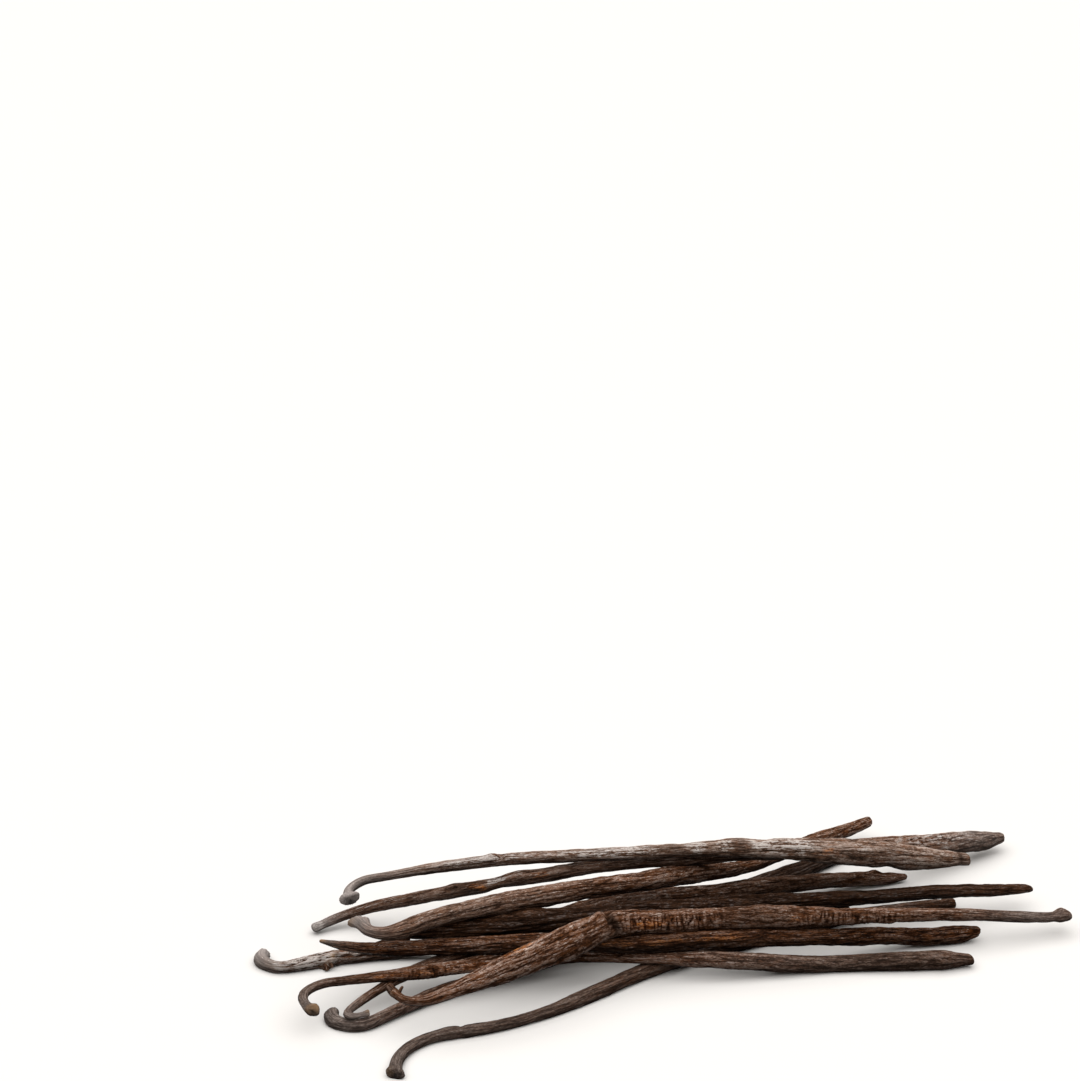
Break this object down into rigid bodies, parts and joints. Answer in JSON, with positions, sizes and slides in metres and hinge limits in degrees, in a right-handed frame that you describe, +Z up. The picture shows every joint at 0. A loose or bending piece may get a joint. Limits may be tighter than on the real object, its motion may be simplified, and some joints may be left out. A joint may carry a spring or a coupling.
{
  "type": "bundle of vanilla pods",
  "caption": "Loose bundle of dried, wrinkled dark brown vanilla pods with curled stem ends, heaped crosswise on a flat surface.",
  "frame": {"origin": "on the surface that the heap lies on, under the middle of the heap's box", "axes": "+X along the pods from their stem ends to their tips, +Y away from the front of the heap, +Z up"},
  "size_m": [0.208, 0.1256, 0.0239],
  "materials": {
    "grey_brown_skin": "dry, finely wrinkled, slightly greyed skin",
    "brown_skin": "oily satin skin with long fine wrinkles and orange-brown flecks",
    "dark_skin": "oily, nearly black, deeply wrinkled skin",
    "frosted_skin": "wrinkled skin with pale grey crests"
  },
  "bodies": {
    "root": {"pod_low_front": "grey_brown_skin", "pod_low_cross": "brown_skin", "pod_curled_stem": "grey_brown_skin", "pod_bent_stem": "brown_skin", "pod_open_hook": "brown_skin", "pod_thin_stem": "dark_skin", "pod_broad": "dark_skin", "pod_leaning": "brown_skin", "pod_back": "brown_skin", "pod_top_back": "frosted_skin", "pod_top_front": "brown_skin"}
  },
  "joints": []
}
